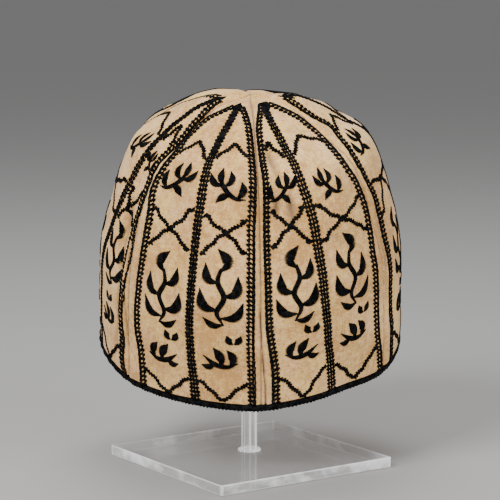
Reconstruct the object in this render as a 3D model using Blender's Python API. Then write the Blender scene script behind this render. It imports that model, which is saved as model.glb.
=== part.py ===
"""Dervish cap of six gores with a corded rim, held up on a plain clear display stand.

The cap is a tall dome with a flattened crown, and it leans forward on its stand. All its cloth pieces are
cut from one surface, which cap_point() works out from a profile, the fullness of the gores between their
seams and a short table of dents. The origin is the middle of the stand's underside, +Z is up and the front
of the cap faces -Y. On the cap, azimuth 0 is its front and grows towards +X, and "along" runs up the cloth
from 0 at the rim's edge to 1 at the point of the crown.
"""

from collections import namedtuple
import math

import bmesh
import bpy
from mathutils import Matrix, Vector
import numpy as np

MM = 0.001

# The stand
BASE_SIDE = 120.0 * MM
BASE_THICKNESS = 6.4 * MM
BASE_TURN = math.radians(34.5)
BASE_EDGE_ROUND = 0.6 * MM
POST_DIAMETER = 9.5 * MM
COLLAR_DIAMETER = 13.6 * MM
COLLAR_HEIGHT = 1.2 * MM
HEAD_RADIUS = 40.0 * MM
HEAD_THICKNESS = 3.0 * MM
TOUCH_GAP = 0.3 * MM

# How the cap sits over the stand
RIM_CENTRE = Vector((0.4 * MM, 22.8 * MM, BASE_THICKNESS + 66.3 * MM))
FORWARD_LEAN = math.radians(17.4)

# The cap's cloth and cord
CLOTH_THICKNESS = 2.0 * MM
CORD_HEIGHT = 3.1 * MM
CORD_DEPTH = 3.2 * MM
CORD_STANDS_PROUD = 0.5 * MM
CROWN_HOLE_RADIUS = 2.2 * MM

# The gores, from the front left one round to the right: degrees of azimuth from seam to seam, and how far
# the hem rises, in millimetres, in the middle of the gore over its ends at the seams
Gore = namedtuple("Gore", "angle hem_rise")
GORES = (
    Gore(56.0, 1.3),
    Gore(57.0, 2.9),
    Gore(61.0, 2.4),
    Gore(64.0, 1.6),
    Gore(65.0, 1.6),
    Gore(57.0, 3.2),
)
FIRST_SEAM = -52.0
SEAM_GROOVE_DEPTH = 0.7 * MM
SEAM_GROOVE_WIDTH = 2.6 * MM
HEM_DIP_AT_SEAMS = 2.2 * MM
HEM_FADES_OUT = 0.25

# The cap's profile: millimetres above the rim, millimetres from the axis at the seams, and how far the
# middle of each gore stands out from there
Section = namedtuple("Section", "height radius fullness")
PROFILE = (
    Section(0.0, 89.6, 0.3),
    Section(18.5, 89.2, 0.5),
    Section(46.0, 88.5, 0.8),
    Section(69.0, 86.6, 1.2),
    Section(92.0, 80.5, 1.6),
    Section(110.5, 74.3, 2.0),
    Section(127.0, 65.4, 2.2),
    Section(137.5, 49.0, 2.4),
    Section(148.6, 32.0, 2.2),
    Section(154.5, 16.0, 1.5),
    Section(156.3, 0.0, 0.0),
)

# Dents and bulges in the cloth: degrees of azimuth, along, half width and half height in millimetres, and
# how deep each is in millimetres, below zero where the cloth stands out
Dent = namedtuple("Dent", "azimuth along half_width half_height depth")
DENTS = (
    Dent(-59.0, 0.52, 7.0, 30.0, 3.2),
    Dent(-49.0, 0.50, 6.0, 26.0, -1.2),
    Dent(10.0, 0.74, 7.0, 9.0, 1.6),
    Dent(14.0, 0.56, 12.0, 10.0, 1.0),
    Dent(-8.0, 0.10, 12.0, 9.0, 0.9),
    Dent(64.0, 0.50, 6.0, 28.0, 1.2),
    Dent(-30.0, 0.30, 14.0, 22.0, -0.8),
    Dent(38.0, 0.02, 16.0, 12.0, 2.0),
    Dent(-95.0, 0.56, 22.0, 14.0, 0.7),
    Dent(-92.0, 0.42, 24.0, 50.0, 1.5),
    Dent(95.0, 0.62, 20.0, 22.0, -1.0),
    Dent(100.0, 0.77, 20.0, 9.0, -1.4),
    Dent(-100.0, 0.75, 22.0, 12.0, -1.2),
    Dent(-80.0, 0.88, 15.0, 12.0, -2.0),
    Dent(85.0, 0.88, 15.0, 12.0, -2.8),
    Dent(150.0, 0.84, 20.0, 18.0, 4.2),
    Dent(184.0, 0.88, 42.0, 22.0, 4.6),
    Dent(150.0, 0.42, 14.0, 30.0, 1.4),
    Dent(205.0, 0.62, 12.0, 18.0, 1.5),
    Dent(240.0, 0.25, 13.0, 24.0, 1.2),
)

# The roundness of a gore from seam to seam, and the short step along the cloth that gives its slope
FULLNESS_POWER = 2.4
SLOPE_STEP = 0.002

# How finely the faceted solids are divided
GORE_COLUMNS = 12
GORE_ROWS = 25
CORD_STEPS_PER_GORE = 16
CORD_SIDES = 8
ROUND_SIDES = 32
HEAD_RINGS = 7


def clear_scene():
    """Take away whatever the file starts with."""
    for item in list(bpy.data.objects):
        bpy.data.objects.remove(item, do_unlink=True)


def material(name, colour, roughness, see_through=0.0):
    """A Principled material with one colour."""
    made = bpy.data.materials.new(name)
    made.use_nodes = True
    shader = made.node_tree.nodes["Principled BSDF"]
    shader.inputs["Base Color"].default_value = (*colour, 1.0)
    shader.inputs["Roughness"].default_value = roughness
    shader.inputs["Metallic"].default_value = 0.0
    shader.inputs["Transmission Weight"].default_value = see_through
    return made


def add_object(name, mesh, finish):
    """Put a mesh into the scene under its node's name."""
    made = bpy.data.objects.new(name, mesh)
    made.data.materials.append(finish)
    bpy.context.scene.collection.objects.link(made)
    return made


def profile_knots():
    """How far along the cloth each section of the profile lies, from 0 to 1."""
    places = np.array([(row.radius, row.height) for row in PROFILE])
    steps = np.hypot(*np.diff(places, axis=0).T)
    run = np.concatenate(([0.0], np.cumsum(steps)))
    return run / run[-1]


def smooth_curve(knots, values, at):
    """Cubic curve through the values at the knots, flat in slope where it passes the crown's point."""
    knots = np.append(knots, 2.0 - knots[-2])
    index = int(np.clip(np.searchsorted(knots, at, side="right") - 1, 0, len(knots) - 3))
    slopes = np.gradient(values, knots)
    span = knots[index + 1] - knots[index]
    part = (at - knots[index]) / span
    start = values[index] * (1 + 2 * part) * (1 - part) ** 2
    end = values[index + 1] * part ** 2 * (3 - 2 * part)
    bend = slopes[index] * part * (1 - part) ** 2 - slopes[index + 1] * part ** 2 * (1 - part)
    return start + end + span * bend


def profile_at(along):
    """Distance from the axis and height above the rim of the seams, in metres."""
    knots = profile_knots()
    radii = np.array([row.radius for row in PROFILE] + [-PROFILE[-2].radius])
    heights = np.array([row.height for row in PROFILE] + [PROFILE[-2].height])
    return smooth_curve(knots, radii, along) * MM, smooth_curve(knots, heights, along) * MM


def outwards_at(along):
    """The direction that points out of the cloth, as distance from the axis and height."""
    ahead = np.subtract(profile_at(along + SLOPE_STEP), profile_at(along - SLOPE_STEP))
    return Vector((ahead[1], -ahead[0])).normalized()


def fullness_at(along):
    """How far the middle of a gore stands out from its seams."""
    full = np.array([row.fullness for row in PROFILE] + [PROFILE[-2].fullness])
    return smooth_curve(profile_knots(), full, along) * MM


def cloth_length():
    """Length of the cloth from the rim's edge to the crown's point."""
    places = [Vector(profile_at(step / 200)) for step in range(201)]
    return sum((b - a).length for a, b in zip(places, places[1:]))


def seam_azimuths():
    """The first seam, the seams after it round the cap, and the first again a full turn on."""
    seams = [FIRST_SEAM]
    for gore in GORES:
        seams.append(seams[-1] + gore.angle)
    return seams


def place_in_gore(azimuth):
    """The gore at an azimuth, degrees to its nearer seam, and -1 to 1 from its left seam to its right."""
    seams = seam_azimuths()
    turned = (azimuth - FIRST_SEAM) % 360.0 + FIRST_SEAM
    number = 0
    while turned > seams[number + 1]:
        number += 1
    left, right = seams[number], seams[number + 1]
    across = 2.0 * (turned - left) / (right - left) - 1.0
    return GORES[number], min(turned - left, right - turned), across


def hem_shift(azimuth, along):
    """How far the lower part of the cloth is moved up, so that the hem dips at each seam."""
    if along >= HEM_FADES_OUT:
        return 0.0
    gore, _, across = place_in_gore(azimuth)
    shift = gore.hem_rise * MM * (1.0 - across ** 2) - HEM_DIP_AT_SEAMS
    return shift * (1.0 + math.cos(math.pi * along / HEM_FADES_OUT)) / 2


def relief(azimuth, along, radius, length):
    """How far the cloth stands out from the profile: fullness, seam grooves and dents."""
    _, to_seam, across = place_in_gore(azimuth)
    height = fullness_at(along) * (1.0 - abs(across) ** FULLNESS_POWER)
    from_seam = math.radians(to_seam) * radius
    height -= SEAM_GROOVE_DEPTH * math.exp(-(from_seam / SEAM_GROOVE_WIDTH) ** 2)
    for dent in DENTS:
        turn = (azimuth - dent.azimuth + 180.0) % 360.0 - 180.0
        sideways = math.radians(turn) * radius / (dent.half_width * MM)
        upwards = (along - dent.along) * length / (dent.half_height * MM)
        height -= dent.depth * MM * math.exp(-sideways ** 2 - upwards ** 2)
    return height


def cap_point(azimuth, along, inwards, length):
    """A point of the cap's surface in its own frame, moved inwards by a given depth."""
    radius, height = profile_at(along)
    out = outwards_at(along)
    depth = relief(azimuth, along, radius, length) - inwards
    radius += out.x * depth
    height += out.y * depth + hem_shift(azimuth, along)
    turn = math.radians(azimuth)
    return Vector((radius * math.sin(turn), -radius * math.cos(turn), height))


def cap_frame():
    """Places the cap's own frame, with its origin at the rim's centre, over the stand."""
    return Matrix.Translation(RIM_CENTRE) @ Matrix.Rotation(FORWARD_LEAN, 4, "X")


def along_at_height(height):
    """The place along the cloth that lies at a height above the rim."""
    low, high = 0.0, 0.5
    for _ in range(40):
        middle = (low + high) / 2
        if profile_at(middle)[1] < height:
            low = middle
        else:
            high = middle
    return low


def along_at_radius(radius):
    """The place along the cloth, on the crown, that lies at a distance from the axis."""
    low, high = 0.5, 1.0
    for _ in range(40):
        middle = (low + high) / 2
        if profile_at(middle)[0] > radius:
            low = middle
        else:
            high = middle
    return low


def closed_from_grid(rows):
    """A closed wall from rows of point pairs, outer and inner, as a bmesh."""
    shell = bmesh.new()
    outer = [[shell.verts.new(pair[0]) for pair in row] for row in rows]
    inner = [[shell.verts.new(pair[1]) for pair in row] for row in rows]
    for low in range(len(rows) - 1):
        high = low + 1
        for left in range(len(rows[0]) - 1):
            right = left + 1
            shell.faces.new((outer[low][left], outer[low][right], outer[high][right], outer[high][left]))
            shell.faces.new((inner[low][left], inner[high][left], inner[high][right], inner[low][right]))
    bmesh.ops.bridge_loops(shell, edges=[edge for edge in shell.edges if edge.is_boundary])
    bmesh.ops.recalc_face_normals(shell, faces=shell.faces)
    bmesh.ops.triangulate(shell, faces=shell.faces)
    return shell


def finish_mesh(name, shape, frame):
    """Turn a bmesh into a mesh placed in the world, shaded smooth with sharp edges kept."""
    bmesh.ops.transform(shape, matrix=frame, verts=shape.verts)
    mesh = bpy.data.meshes.new(name)
    shape.to_mesh(mesh)
    shape.free()
    mesh.shade_smooth()
    mesh.set_sharp_from_angle(angle=math.radians(40))
    return mesh


def make_gore(number, left_seam, right_seam, finish):
    """One cloth gore: a curved wall between two seams, narrowing to the crown."""
    length = cloth_length()
    start = along_at_height(CORD_HEIGHT + TOUCH_GAP)
    end = along_at_radius(CROWN_HOLE_RADIUS)
    rows = []
    for step in range(GORE_ROWS + 1):
        along = start + (end - start) * step / GORE_ROWS
        layers = []
        for inwards in (0.0, CLOTH_THICKNESS):
            at_seam = cap_point(left_seam, along, inwards, length)
            edge = math.degrees(TOUCH_GAP / 2 / math.hypot(at_seam.x, at_seam.y))
            across = np.linspace(left_seam + edge, right_seam - edge, GORE_COLUMNS + 1)
            layers.append([cap_point(azimuth, along, inwards, length) for azimuth in across])
        rows.append(list(zip(*layers)))
    mesh = finish_mesh(f"gore_{number}", closed_from_grid(rows), cap_frame())
    return add_object(f"gore_{number}", mesh, finish)


def make_rim_cord(finish):
    """The cord bound round the rim: one closed ring with a round section under the gores' edge."""
    length = cloth_length()
    ring = bmesh.new()
    loops = []
    seams = seam_azimuths()
    azimuths = [left + (right - left) * step / CORD_STEPS_PER_GORE
                for left, right in zip(seams, seams[1:]) for step in range(CORD_STEPS_PER_GORE)]
    for azimuth in azimuths:
        edge = cap_point(azimuth, 0.0, 0.0, length)
        outwards = Vector((edge.x, edge.y, 0.0)).normalized()
        centre = edge + outwards * (CORD_STANDS_PROUD - CORD_DEPTH / 2)
        centre.z += CORD_HEIGHT / 2
        loop = []
        for side in range(CORD_SIDES):
            turn = math.tau * (side + 0.5) / CORD_SIDES
            flare = 1.0 / math.cos(math.pi / CORD_SIDES)
            place = centre + outwards * (math.cos(turn) * CORD_DEPTH / 2 * flare)
            place.z += math.sin(turn) * CORD_HEIGHT / 2 * flare
            loop.append(ring.verts.new(place))
        loops.append(loop)
    for first, second in zip(loops, loops[1:] + loops[:1]):
        for side in range(CORD_SIDES):
            after = (side + 1) % CORD_SIDES
            ring.faces.new((first[side], second[side], second[after], first[after]))
    bmesh.ops.recalc_face_normals(ring, faces=ring.faces)
    bmesh.ops.triangulate(ring, faces=ring.faces)
    return add_object("rim_cord", finish_mesh("rim_cord", ring, cap_frame()), finish)


def make_base(finish):
    """The square clear plate, turned under the cap, with its edges lightly rounded."""
    block = bmesh.new()
    bmesh.ops.create_cube(block, size=1.0)
    bmesh.ops.scale(block, vec=(BASE_SIDE, BASE_SIDE, BASE_THICKNESS), verts=block.verts)
    mesh = bpy.data.meshes.new("stand_base")
    block.to_mesh(mesh)
    block.free()
    base = add_object("stand_base", mesh, finish)
    base.location = (0.0, 0.0, BASE_THICKNESS / 2)
    base.rotation_euler = (0.0, 0.0, BASE_TURN)
    rounding = base.modifiers.new("rounded edges", "BEVEL")
    rounding.width = BASE_EDGE_ROUND
    rounding.segments = 2
    return base


def turned_piece(outline, sides):
    """A solid turned about its own Z axis from an outline of (radius, height) that ends on the axis."""
    solid = bmesh.new()
    points = [solid.verts.new((radius, 0.0, height)) for radius, height in outline]
    edges = [solid.edges.new(pair) for pair in zip(points, points[1:])]
    bmesh.ops.spin(solid, geom=points + edges, axis=(0, 0, 1), cent=(0, 0, 0), angle=math.tau,
                   steps=sides, use_merge=True)
    bmesh.ops.remove_doubles(solid, verts=solid.verts, dist=0.00001)
    bmesh.ops.recalc_face_normals(solid, faces=solid.faces)
    return solid


def make_collar(finish):
    """The thin ring round the foot of the post."""
    inside = POST_DIAMETER / 2 + TOUCH_GAP
    outside = COLLAR_DIAMETER / 2
    foot = BASE_THICKNESS + TOUCH_GAP
    top = foot + COLLAR_HEIGHT
    slope = COLLAR_HEIGHT / 3
    outline = ((inside, foot), (outside, foot), (outside, top - slope), (outside - slope, top),
               (inside, top), (inside, foot))
    ring = turned_piece(outline, ROUND_SIDES)
    return add_object("stand_collar", finish_mesh("stand_collar", ring, Matrix()), finish)


def under_crown(along, depth):
    """Distance from the axis and height of a point that lies a given depth under the lowest cloth there."""
    radius, height = profile_at(along)
    out = outwards_at(along)
    length = cloth_length()
    lowest = min(relief(azimuth, along, radius, length) for azimuth in range(0, 360, 2))
    depth += CLOTH_THICKNESS - lowest
    return max(radius - out.x * depth, 0.0), height - out.y * depth


def height_over_post(depth):
    """World height at which the post's axis meets the surface that lies a depth under the crown."""
    low, high = along_at_radius(HEAD_RADIUS), 1.0
    for _ in range(20):
        middle = (low + high) / 2
        radius, height = under_crown(middle, depth)
        place = cap_frame() @ Vector((0.0, radius, height))
        if place.y > 0.0:
            low = middle
        else:
            high = middle
    return place.z


def make_post(finish):
    """The upright rod with its hidden head, one piece: the head lies under the crown and carries it."""
    rim = along_at_radius(HEAD_RADIUS)
    upper = [(0.0, under_crown(1.0, TOUCH_GAP)[1])]
    for ring in range(1, HEAD_RINGS):
        upper.append(under_crown(1.0 + (rim - 1.0) * ring / (HEAD_RINGS - 1), TOUCH_GAP))
    lower = [(radius, height - HEAD_THICKNESS) for radius, height in reversed(upper)]
    head = turned_piece(upper + lower, ROUND_SIDES)
    head_object = add_object("stand_post", finish_mesh("stand_post", head, cap_frame()), finish)

    foot = BASE_THICKNESS + TOUCH_GAP
    top = height_over_post(TOUCH_GAP + HEAD_THICKNESS / 2)
    rod = turned_piece(((0.0, foot), (POST_DIAMETER / 2, foot), (POST_DIAMETER / 2, top), (0.0, top)),
                       ROUND_SIDES)
    rod_object = add_object("post_rod", finish_mesh("post_rod", rod, Matrix()), finish)
    rod_object.hide_render = True
    rod_object.display_type = "WIRE"
    joined = head_object.modifiers.new("rod joined to head", "BOOLEAN")
    joined.operation = "UNION"
    joined.solver = "EXACT"
    joined.object = rod_object
    return head_object


def build():
    """Make every piece of the cap and its stand."""
    clear_scene()
    cloth = material("sand wool cloth", (0.60, 0.46, 0.31), 0.9)
    black = material("black cord", (0.012, 0.011, 0.012), 0.65)
    clear = material("clear acrylic", (0.93, 0.94, 0.94), 0.05, see_through=1.0)
    seams = seam_azimuths()
    for number, (left, right) in enumerate(zip(seams, seams[1:]), start=1):
        make_gore(number, left, right, cloth)
    make_rim_cord(black)
    make_base(clear)
    make_collar(clear)
    make_post(clear)


build()
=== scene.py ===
"""A dervish cap of six embroidered gores on a plain clear display stand, dressed over its CAD frame.

The frame gives the solids. This file lights them, gives the stand its clear acrylic, and puts the sewn
cloth, the black embroidery and the bound rim in the place of the plain gores and the plain cord.
"""

import math

import bpy
from mathutils import Matrix, Vector
import numpy as np


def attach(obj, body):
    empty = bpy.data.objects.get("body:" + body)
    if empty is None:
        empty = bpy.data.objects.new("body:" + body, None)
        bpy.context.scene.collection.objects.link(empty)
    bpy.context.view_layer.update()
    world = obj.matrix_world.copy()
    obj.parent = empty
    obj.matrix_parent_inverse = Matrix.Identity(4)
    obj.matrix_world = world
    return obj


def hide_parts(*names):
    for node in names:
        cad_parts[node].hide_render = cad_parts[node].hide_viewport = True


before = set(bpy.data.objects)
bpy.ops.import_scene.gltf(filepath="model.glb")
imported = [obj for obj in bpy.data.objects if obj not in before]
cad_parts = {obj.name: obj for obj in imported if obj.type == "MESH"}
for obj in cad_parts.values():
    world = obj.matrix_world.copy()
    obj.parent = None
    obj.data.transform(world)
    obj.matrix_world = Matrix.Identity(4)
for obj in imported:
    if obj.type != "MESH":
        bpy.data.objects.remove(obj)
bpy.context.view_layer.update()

bpy.ops.object.select_all(action="DESELECT")

# ---- Camera
# The photo was taken with a long lens from just above the middle of the cap, straight on to its front.
# Its place and lens were worked out from the corners and the thickness of the stand's square plate.

MM = 0.001
PLATE_TOP = 6.4 * MM
LENS_DOWN = math.radians(7.71)
LENS_BACK = 1192.8 * MM
LENS_UP = 119.5 * MM
LENS_RIGHT = 0.36 * MM
LENS_LENGTH = 144.0
FILM_WIDTH = 36.0
FARTHEST_SEEN = 200.0

up = Vector((0.0, math.sin(LENS_DOWN), math.cos(LENS_DOWN)))
back = Vector((0.0, -math.cos(LENS_DOWN), math.sin(LENS_DOWN)))
eye = Vector((LENS_RIGHT, 0.0, PLATE_TOP)) + up * LENS_UP + back * LENS_BACK
bpy.ops.object.camera_add(location=eye, rotation=(math.pi / 2 - LENS_DOWN, 0.0, 0.0))
camera = bpy.context.object
camera.name = "photo_camera"
camera.data.lens = LENS_LENGTH
camera.data.sensor_width = FILM_WIDTH
camera.data.clip_end = FARTHEST_SEEN
bpy.context.scene.camera = camera

# ---- Floor and light
# The studio is a plain pale floor that runs out of sight, with large soft lamps: the key stands up on the
# left in front, a weaker one fills from the right, and one hangs over the crown.

FLOOR_SIDE = 60.0
FLOOR_COLOUR = (0.43, 0.43 * 0.985, 0.43 * 0.97, 1.0)
FLOOR_ROUGHNESS = 0.85
FLOOR_GAP = 0.3 * MM
CAP_MIDDLE = (0.0, 0.0, 0.14)
AIR_COLOUR = (0.80, 0.80, 0.81, 1.0)
AIR_STRENGTH = 0.45
# Each lamp's name, place and side in metres, and power in watts
LAMPS = (
    ("key_lamp", (-0.75, -1.05, 1.10), 0.55, 23.6),
    ("fill_lamp", (1.20, -0.90, 0.55), 0.9, 13.0),
    ("top_lamp", (0.0, 0.35, 1.50), 0.8, 10.0),
)


class Wired:
    """One output socket of a shader node, so that shader sums can be written as plain sums."""

    def __init__(self, tree, socket=None):
        self.tree = tree
        self.socket = socket

    def node(self, kind, settings=None, inputs=None, output=0):
        """Add a node, set it up, fill or link its inputs and return one of its outputs."""
        made = self.tree.nodes.new(kind)
        for name, value in (settings or {}).items():
            setattr(made, name, value)
        for name, value in (inputs or {}).items():
            if isinstance(value, Wired):
                self.tree.links.new(value.socket, made.inputs[name])
            else:
                made.inputs[name].default_value = value
        return Wired(self.tree, made.outputs[output])

    def maths(self, operation, first, second=0.0):
        """A Math node of two terms, each a number or a socket."""
        return self.node("ShaderNodeMath", {"operation": operation}, {0: first, 1: second})

    def __add__(self, other):
        return self.maths("ADD", self, other)

    def __radd__(self, other):
        return self.maths("ADD", other, self)

    def __sub__(self, other):
        return self.maths("SUBTRACT", self, other)

    def __rsub__(self, other):
        return self.maths("SUBTRACT", other, self)

    def __mul__(self, other):
        return self.maths("MULTIPLY", self, other)

    def __rmul__(self, other):
        return self.maths("MULTIPLY", other, self)


def new_material(name):
    """A material with its Principled shader, and a Wired to build its sums with."""
    made = bpy.data.materials.new(name)
    made.use_nodes = True
    shader = made.node_tree.nodes["Principled BSDF"]
    return made, shader, Wired(made.node_tree)


floor_finish, floor_shader, _ = new_material("pale_floor")
floor_shader.inputs["Base Color"].default_value = FLOOR_COLOUR
floor_shader.inputs["Roughness"].default_value = FLOOR_ROUGHNESS
bpy.ops.mesh.primitive_plane_add(size=FLOOR_SIDE, location=(0.0, 0.0, -FLOOR_GAP))
floor = bpy.context.object
floor.name = "studio_floor"
floor.data.materials.append(floor_finish)

for name, place, size, power in LAMPS:
    turn = (Vector(CAP_MIDDLE) - Vector(place)).to_track_quat("-Z", "Y").to_euler()
    bpy.ops.object.light_add(type="AREA", location=place, rotation=turn)
    lamp = bpy.context.object
    lamp.name = name
    lamp.data.shape = "SQUARE"
    lamp.data.size = size
    lamp.data.energy = power

world = bpy.data.worlds.new("studio_air")
world.use_nodes = True
world.node_tree.nodes["Background"].inputs["Color"].default_value = AIR_COLOUR
world.node_tree.nodes["Background"].inputs["Strength"].default_value = AIR_STRENGTH
bpy.context.scene.world = world

# ---- Clear stand
# The stand is cast acrylic: a polished square plate, a thin glued ring and a round rod. All three keep
# their CAD shape and get a clear finish, with painted highlights, a white that glows a little, on their
# edges and in streaks.

PLATE_SIDE = 120.0 * MM
PLATE_TURN = math.radians(34.5)
# How far the painted highlight lines reach in from the plate's corners, its top edge and its foot
CORNER_LINE = 1.4 * MM
TOP_LINE = 1.0 * MM
FOOT_LINE = 0.8 * MM
ACRYLIC_TINT = (0.97, 0.975, 0.975, 1.0)
ACRYLIC_IOR = 1.49
ACRYLIC_ROUGHNESS = 0.03
VEIL_AT_THE_RIM = 0.72
# The painted highlight: a white shader that glows a little, and how much each part glows
PAINTED_HIGHLIGHT = (0.93, 0.935, 0.94, 1.0)
PAINTED_HIGHLIGHT_ROUGHNESS = 0.2
PLATE_CLEAREST = 0.10
PLATE_PAINTED_GLOW = 0.22
ROD_CLEAREST = 0.45
ROD_PAINTED_GLOW = 0.40
FLATTEST_SIDE = 0.9
FOOT_LINE_SHARE = 0.7
LINE_LEAST, LINE_PATCHY = 0.48, 0.50
# Scale, detail and roughness of the noises, and from which run of their values to which share of painted
# highlight
PATCHES, PATCH_RUN = ((38.0, 38.0, 60.0), 3.0, 0.55), (0.46, 0.66, 0.16, 0.85)
STREAKS, STREAK_RUN = ((420.0, 420.0, 6.0), 1.0, 0.4), (0.47, 0.60)


def noise(place, scale, detail, roughness, distortion=0.0):
    """Noise on a place. Its scale is one number, or three where it is drawn out along an axis."""
    if isinstance(scale, tuple):
        place = place.node("ShaderNodeVectorMath", {"operation": "MULTIPLY"}, {0: place, 1: scale})
        scale = 1.0
    return place.node("ShaderNodeTexNoise", {}, {"Vector": place, "Scale": scale, "Detail": detail,
                                                 "Roughness": roughness, "Distortion": distortion})


def stretch(value, low, high, to_low=0.0, to_high=1.0):
    """A value's run from low to high, stretched to another run and held at its ends."""
    return value.node("ShaderNodeMapRange", {}, {"Value": value, "From Min": low, "From Max": high,
                                                 "To Min": to_low, "To Max": to_high})


def new_acrylic(name, clearest):
    """Clear cast acrylic that lets the lamps through, clearer where it faces the viewer."""
    made, shader, wire = new_material(name)
    shader.inputs["Base Color"].default_value = ACRYLIC_TINT
    shader.inputs["Roughness"].default_value = ACRYLIC_ROUGHNESS
    shader.inputs["IOR"].default_value = ACRYLIC_IOR
    shader.inputs["Transmission Weight"].default_value = 1.0
    facing = wire.node("ShaderNodeLayerWeight", {}, {"Blend": 0.5}, 1)
    veil = stretch(facing, 0.45, 0.92, clearest, VEIL_AT_THE_RIM)
    wire.tree.links.new(veil.socket, shader.inputs["Alpha"])
    return made, shader, wire


def paint_highlights(made, shader, wire, share, glow):
    """Mix painted highlights, a white that glows a little, into an acrylic where the share says."""
    highlight = wire.node("ShaderNodeBsdfPrincipled", {}, {
        "Base Color": PAINTED_HIGHLIGHT, "Roughness": PAINTED_HIGHLIGHT_ROUGHNESS,
        "Emission Color": (1.0, 1.0, 1.0, 1.0), "Emission Strength": glow})
    mixed = wire.node("ShaderNodeMixShader", {}, {
        "Fac": share, 1: Wired(wire.tree, shader.outputs["BSDF"]), 2: highlight})
    wire.tree.links.new(mixed.socket, made.node_tree.nodes["Material Output"].inputs["Surface"])


# The plate's sides are sawn and polished, and painted highlights lie on them in patches and along their
# edges
plate_finish, shader, wire = new_acrylic("acrylic_plate", PLATE_CLEAREST)
place = wire.node("ShaderNodeTexCoord", output="Object")
east, north, height = (wire.node("ShaderNodeSeparateXYZ", {}, {"Vector": place}, axis) for axis in range(3))
one_way = wire.maths("ABSOLUTE", east * math.cos(PLATE_TURN) + north * math.sin(PLATE_TURN))
other_way = wire.maths("ABSOLUTE", north * math.cos(PLATE_TURN) - east * math.sin(PLATE_TURN))
near_corner = wire.maths("GREATER_THAN", wire.maths("MINIMUM", one_way, other_way),
                         PLATE_SIDE / 2 - CORNER_LINE)
near_top = wire.maths("GREATER_THAN", height, PLATE_TOP - TOP_LINE)
near_foot = wire.maths("LESS_THAN", height, FOOT_LINE)
edge_highlight = wire.maths("MAXIMUM", near_corner, wire.maths("MAXIMUM", near_top, near_foot * FOOT_LINE_SHARE))
upright = wire.maths("ABSOLUTE", wire.node("ShaderNodeSeparateXYZ", {}, {
    "Vector": wire.node("ShaderNodeNewGeometry", output=1)}, 2))
is_side = wire.maths("LESS_THAN", upright, FLATTEST_SIDE)
patches = stretch(noise(place, *PATCHES), *PATCH_RUN)
highlight_share = is_side * wire.maths("MAXIMUM", patches, edge_highlight * (LINE_LEAST + patches * LINE_PATCHY))
paint_highlights(plate_finish, shader, wire, highlight_share, PLATE_PAINTED_GLOW)
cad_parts["stand_base"].material_slots[0].material = plate_finish

# Painted highlights lie on the rod in upright streaks, and more of them on the glue ring at its foot, which
# reads whitish
for node, name, fewest, most in (("stand_post", "acrylic_rod", 0.10, 0.9),
                                 ("stand_collar", "acrylic_ring", 0.35, 0.8)):
    finish, shader, wire = new_acrylic(name, ROD_CLEAREST)
    streaks = noise(wire.node("ShaderNodeTexCoord", output="Object"), *STREAKS)
    paint_highlights(finish, shader, wire, stretch(streaks, *STREAK_RUN, fewest, most), ROD_PAINTED_GLOW)
    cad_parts[node].material_slots[0].material = finish

# ---- Cloth of the cap
# The cap is fulled wool cloth in six gores, sewn edge to edge from the rim to the crown's point. One
# function gives the cloth's surface, with the CAD's profile, fullness and dents and, finer than in the CAD,
# the rolled seam edges, puckers and soft creases. All that is sewn on the cap is laid on it.

RIM_CENTRE = Vector((0.4 * MM, 22.8 * MM, PLATE_TOP + 66.3 * MM))
FORWARD_LEAN = math.radians(17.4)
LEAN = np.array(Matrix.Rotation(FORWARD_LEAN, 3, "X")).T
GORE_ANGLES = (56.0, 57.0, 61.0, 64.0, 65.0, 57.0)
HEM_RISES = (1.3, 2.9, 2.4, 1.6, 1.6, 3.2)
FIRST_SEAM = -52.0
SEAMS = FIRST_SEAM + np.concatenate(([0.0], np.cumsum(GORE_ANGLES)))
# Millimetres above the rim, from the axis, and how far the middle of a gore stands out
PROFILE = np.array((
    (0.0, 89.6, 0.3),
    (18.5, 89.2, 0.5),
    (46.0, 88.5, 0.8),
    (69.0, 86.6, 1.2),
    (92.0, 80.5, 1.6),
    (110.5, 74.3, 2.0),
    (127.0, 65.4, 2.2),
    (137.5, 49.0, 2.4),
    (148.6, 32.0, 2.2),
    (154.5, 16.0, 1.5),
    (156.3, 0.0, 0.0),
))
# Azimuth in degrees, along, half width, half height and depth in millimetres
DENTS = (
    (-59.0, 0.52, 7.0, 30.0, 3.2),
    (-49.0, 0.50, 6.0, 26.0, -1.2),
    (10.0, 0.74, 7.0, 9.0, 1.6),
    (14.0, 0.56, 12.0, 10.0, 1.0),
    (-8.0, 0.10, 12.0, 9.0, 0.9),
    (64.0, 0.50, 6.0, 28.0, 1.2),
    (-30.0, 0.30, 14.0, 22.0, -0.8),
    (38.0, 0.02, 16.0, 12.0, 2.0),
    (-95.0, 0.56, 22.0, 14.0, 0.7),
    (-92.0, 0.42, 24.0, 50.0, 1.5),
    (95.0, 0.62, 20.0, 22.0, -1.0),
    (100.0, 0.77, 20.0, 9.0, -1.4),
    (-100.0, 0.75, 22.0, 12.0, -1.2),
    (-80.0, 0.88, 15.0, 12.0, -2.0),
    (85.0, 0.88, 15.0, 12.0, -2.8),
    (150.0, 0.84, 20.0, 18.0, 4.2),
    (184.0, 0.88, 42.0, 22.0, 4.6),
    (150.0, 0.42, 14.0, 30.0, 1.4),
    (205.0, 0.62, 12.0, 18.0, 1.5),
    (240.0, 0.25, 13.0, 24.0, 1.2),
)
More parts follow.
